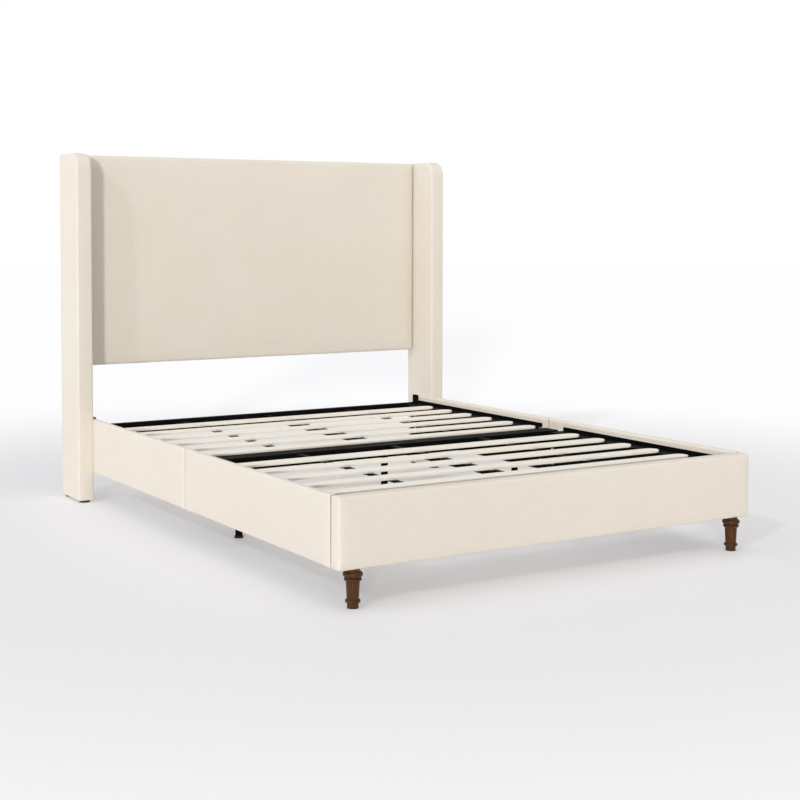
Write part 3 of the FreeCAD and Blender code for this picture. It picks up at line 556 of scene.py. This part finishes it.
def rail_upholstery(side, half):
    """Half a side rail: fabric over thin foam, open at both ends for its board."""
    node = f"rail_{side}_{half}_cover"
    low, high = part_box(node)
    inner = min(abs(low.x), abs(high.x))
    shape = block(low, high)
    level = [edge for edge in shape.edges if runs(edge, 1)]
    crest = [edge for edge in level
             if middle_of(edge).z > high.z - MM and abs(middle_of(edge).x) < inner + MM]
    round_over(shape, [edge for edge in level if edge not in crest], 6 * MM, 4)
    round_over(shape, [edge for edge in sharp_edges(shape) if runs(edge, 1)], 11 * MM, 5)
    for way in (-1, 1):
        open_end(shape, 1, way, RAIL_WALL, 12 * MM)

    def held(point):
        return min(point.y - low.y, high.y - point.y) < 13 * MM or abs(point.x) < inner + 2 * MM

    return upholstered(f"rail_{side}_{half}_upholstery", shape, held, 2.2 * MM, node)


def footboard_upholstery():
    """The low footboard: a softly rounded fabric sleeve, open below for its board."""
    low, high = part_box("footboard_cover")
    shape = block(low, high)
    round_over(shape, sharp_edges(shape), 9 * MM, 4)
    open_end(shape, 2, -1, 3 * MM, 14 * MM)

    def held(point):
        return point.z < low.z + 14 * MM or point.y > high.y - 2 * MM

    return upholstered("footboard_upholstery", shape, held, 2.5 * MM, "footboard_cover")


# ---------------------------------------------------------------- black cloths
def cloth_sheet(name, low, high, thick_axis, outward):
    """A stapled flat cloth between two corners, a little slack between its edges, 0.8 mm thick."""
    low, high = Vector(low), Vector(high)
    shape = block(low, high)
    keep = facing(shape, thick_axis, outward)
    bmesh.ops.delete(shape, geom=[face for face in shape.faces if face is not keep], context="FACES")
    net(shape, 30 * MM)
    spans = [axis for axis in range(3) if axis != thick_axis]
    for vert in shape.verts:
        edge = min(min(vert.co[axis] - low[axis], high[axis] - vert.co[axis]) for axis in spans)
        slack = min(1.0, max(0.0, edge / (40 * MM)))
        ripple = noise.noise(vert.co * 9.0) * 0.9 * MM * slack
        vert.co[thick_axis] += ripple - outward * 0.5 * MM
    bmesh.ops.solidify(shape, geom=shape.faces[:], thickness=0.8 * MM)
    piece = piece_from(shape, name, FINISH["lining_cloth"])
    seat(piece, "lining_cloth")
    return piece


def staples(name, places, along, outward):
    """Wire staples: places are their middles, along is the crown's direction, outward the way it faces."""
    shape = bmesh.new()
    half, wire = 5 * MM, 0.6 * MM
    for place in places:
        reach = Vector(along) * half + Vector((wire, wire, wire))
        part = block(Vector(place) - reach, Vector(place) + reach)
        round_over(part, part.edges[:], 0.4 * wire, 1)
        bmesh.ops.translate(part, vec=Vector(outward) * wire, verts=part.verts)
        bridge = bpy.data.meshes.new("staple")
        part.to_mesh(bridge)
        part.free()
        shape.from_mesh(bridge)
        bpy.data.meshes.remove(bridge)
    return seat(piece_from(shape, name, FINISH["bolt_steel"], smooth=False), "bolt_steel")


def evenly(start, end, step):
    """Points a step apart, centred between two ends."""
    start, end = Vector(start), Vector(end)
    count = int((end - start).length / step)
    return [start.lerp(end, (i + 0.5) / count) for i in range(count)]


def headboard_back():
    """The cloth that closes the back of the headboard, hemmed under and stapled round."""
    low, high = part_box("headboard_back_cover")
    piece = cloth_sheet("headboard_back_cloth", low, high, 1, 1)
    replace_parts(piece, "headboard_back_cover")
    edge = 9 * MM
    left, right, lower, upper, back = low.x + edge, high.x - edge, low.z + edge, high.z - edge, high.y
    level = [*evenly((left, back, lower), (right, back, lower), 60 * MM),
             *evenly((left, back, upper), (right, back, upper), 60 * MM)]
    upright = [*evenly((left, back, lower), (left, back, upper), 60 * MM),
               *evenly((right, back, lower), (right, back, upper), 60 * MM)]
    staples("headboard_staples_level", level, (1, 0, 0), (0, 1, 0))
    staples("headboard_staples_upright", upright, (0, 0, 1), (0, 1, 0))


def linings():
    """Black cloth on the inner faces of the rails and of the footboard."""
    low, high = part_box("rail_linings")
    first = None
    for side, way in (("left", -1), ("right", 1)):
        for half in HALVES:
            cover_low, cover_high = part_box(f"rail_{side}_{half}_cover")
            inner, skin = (high.x - 1 * MM) * way, high.x * way
            corners = sorted((inner, skin))
            piece = cloth_sheet(f"rail_{side}_{half}_lining", (corners[0], cover_low.y + MM, low.z),
                                (corners[1], cover_high.y - MM, high.z), 0,
                                -way)
            first = first or piece
    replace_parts(first, "rail_linings")
    low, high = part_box("footboard_lining")
    piece = cloth_sheet("footboard_lining_cloth", low, high, 1, 1)
    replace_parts(piece, "footboard_lining")


# ---------------------------------------------------------------- slats and tubes
def slat(node):
    """A sanded slat with half-round ends and eased edges."""
    low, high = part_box(node)
    shape = block(low, high)
    round_over(shape, [edge for edge in shape.edges if runs(edge, 2)], (high.y - low.y) / 2 - 0.5 * MM, 14)
    round_over(shape, sharp_edges(shape), 1.8 * MM, 3)
    piece = piece_from(shape, node + "_sanded", FINISH["slat_wood"])
    flat = piece.modifiers.new("flat_faces", "WEIGHTED_NORMAL")
    flat.keep_sharp = True
    return seat(piece, "slat_wood", node)


def tube(name, low, high, axis, wall=2 * MM, corner=3 * MM):
    """A rectangular steel tube with rolled corners, open at its ends."""
    shape = block(low, high)
    ends = [face for face in shape.faces if abs(face.normal[axis]) > 0.99]
    bmesh.ops.delete(shape, geom=ends, context="FACES_ONLY")
    round_over(shape, [edge for edge in shape.edges if runs(edge, axis)], corner, 4)
    bmesh.ops.recalc_face_normals(shape, faces=shape.faces)
    bmesh.ops.solidify(shape, geom=shape.faces[:], thickness=wall)
    piece = piece_from(shape, name, FINISH["black_steel"])
    flat = piece.modifiers.new("flat_faces", "WEIGHTED_NORMAL")
    flat.keep_sharp = True
    return seat(piece, "black_steel")


def flat_bar(name, low, high):
    """A rolled steel strip with eased edges."""
    shape = block(low, high)
    round_over(shape, shape.edges[:], 0.8 * MM, 2)
    piece = piece_from(shape, name, FINISH["black_steel"])
    flat = piece.modifiers.new("flat_faces", "WEIGHTED_NORMAL")
    flat.keep_sharp = True
    return seat(piece, "black_steel")


def steel_bars():
    """Both crossbars and centre bars are tubes; each half of the bed has two flat side strips as well."""
    for node, axis in (("crossbar_middle", 0), ("crossbar_head", 0), ("centre_bar_foot", 1),
                       ("centre_bar_head", 1)):
        low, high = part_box(node)
        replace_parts(tube(node + "_tube", low, high, axis), node)
    for half in HALVES:
        node = f"side_bars_{half}"
        low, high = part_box(node)
        left = flat_bar(f"side_bar_{half}_left", low, (low.x + STRIP_WIDE, high.y, high.z))
        flat_bar(f"side_bar_{half}_right", (high.x - STRIP_WIDE, low.y, low.z), high)
        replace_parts(left, node)


# ---------------------------------------------------------------- studio
# Each lamp: name, degrees round to the left of the foot, degrees up, strength, spread in degrees, colour
# and whether it throws a shadow.
WARM, COOL, PLAIN = (1.0, 0.985, 0.96), (0.87, 0.91, 1.0), (1.0, 1.0, 1.0)
LAMPS = (("key_light", 38, 8, 1.25, 4, WARM, True), ("side_light", 61.5, 32, 0.50, 4, COOL, True),
         ("back_fill", 115, 25, 0.55, 60, COOL, False), ("overhead_fill", 0, 90, 0.80, 60, PLAIN, False))
ROOM_LIGHT = 0.50


def studio_floor():
    """A wide pale floor that runs out to white all round: further from the bed its colour is painted paler
    and it glows, painted light that lifts it to white far off.
    """
    shape = bmesh.new()
    bmesh.ops.create_circle(shape, cap_ends=True, segments=96, radius=40)
    mesh = bpy.data.meshes.new("studio_floor")
    shape.to_mesh(mesh)
    shape.free()
    floor = bpy.data.objects.new("studio_floor", mesh)
    bpy.context.scene.collection.objects.link(floor)
    material, tree, sockets, place = finish_named("pale_studio_floor_painted_glow", **{
        "Roughness": 0.6, "Specular IOR Level": 0.15, "Emission Strength": 1.0})
    # Painted light: from 1.5 m to 4.2 m out the floor's colour is painted paler, and a painted glow rises
    # from none to 0.12.
    reach = add(tree, "ShaderNodeVectorMath", {0: place}, operation="LENGTH").outputs["Value"]
    out = add(tree, "ShaderNodeMapRange", {"Value": reach, "From Min": 1.5, "From Max": 4.2},
              interpolation_type="SMOOTHSTEP").outputs[0]
    feed(tree, sockets, Base_Color=mix_colour(tree, out, (0.86, 0.85, 0.86, 1), (0.95, 0.95, 0.95, 1)),
         Emission_Color=mix_colour(tree, out, (0, 0, 0, 1), (0.12, 0.12, 0.12, 1)))
    floor.data.materials.append(material)


def white_room():
    """White surroundings, seen brighter than they light."""
    world = bpy.data.worlds.new("white_room")
    bpy.context.scene.world = world
    world.use_nodes = True
    tree = world.node_tree
    tree.nodes.clear()
    seen = add(tree, "ShaderNodeLightPath").outputs["Is Camera Ray"]
    glow = add(tree, "ShaderNodeBackground", {"Color": (1, 1, 1, 1),
                                              "Strength": mix_value(tree, seen, ROOM_LIGHT, 1.0)})
    add(tree, "ShaderNodeOutputWorld", {"Surface": glow.outputs[0]})


def studio():
    """Floor, surroundings and lamps."""
    bpy.context.scene.view_settings.view_transform = "Standard"
    studio_floor()
    white_room()
    for name, round_left, height, power, spread, colour, shadow in LAMPS:
        lamp = bpy.data.lights.new(name, "SUN")
        lamp.energy = power
        lamp.angle = math.radians(spread)
        lamp.color = colour
        lamp.use_shadow = shadow
        lamp_object = bpy.data.objects.new(name, lamp)
        turn, rise = math.radians(round_left), math.radians(height)
        source = Vector((-math.sin(turn) * math.cos(rise), -math.cos(turn) * math.cos(rise), math.sin(rise)))
        lamp_object.rotation_euler = source.to_track_quat("Z", "Y").to_euler()
        bpy.context.scene.collection.objects.link(lamp_object)


# ---------------------------------------------------------------- the bed
set_camera()
FINISH = make_finishes()
for cad_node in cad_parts.values():
    for holder in cad_node.material_slots:
        holder.material = FINISH[holder.material.name.split(".")[0]]
for bed_side in SIDES:
    wing_upholstery(bed_side)
    for bed_half in HALVES:
        rail_upholstery(bed_side, bed_half)
footboard_upholstery()
headboard_cushion()
headboard_back()
linings()
for slat_node in sorted(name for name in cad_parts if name.startswith("slat_") and name != "slat_pads"):
    slat(slat_node)
steel_bars()
studio()
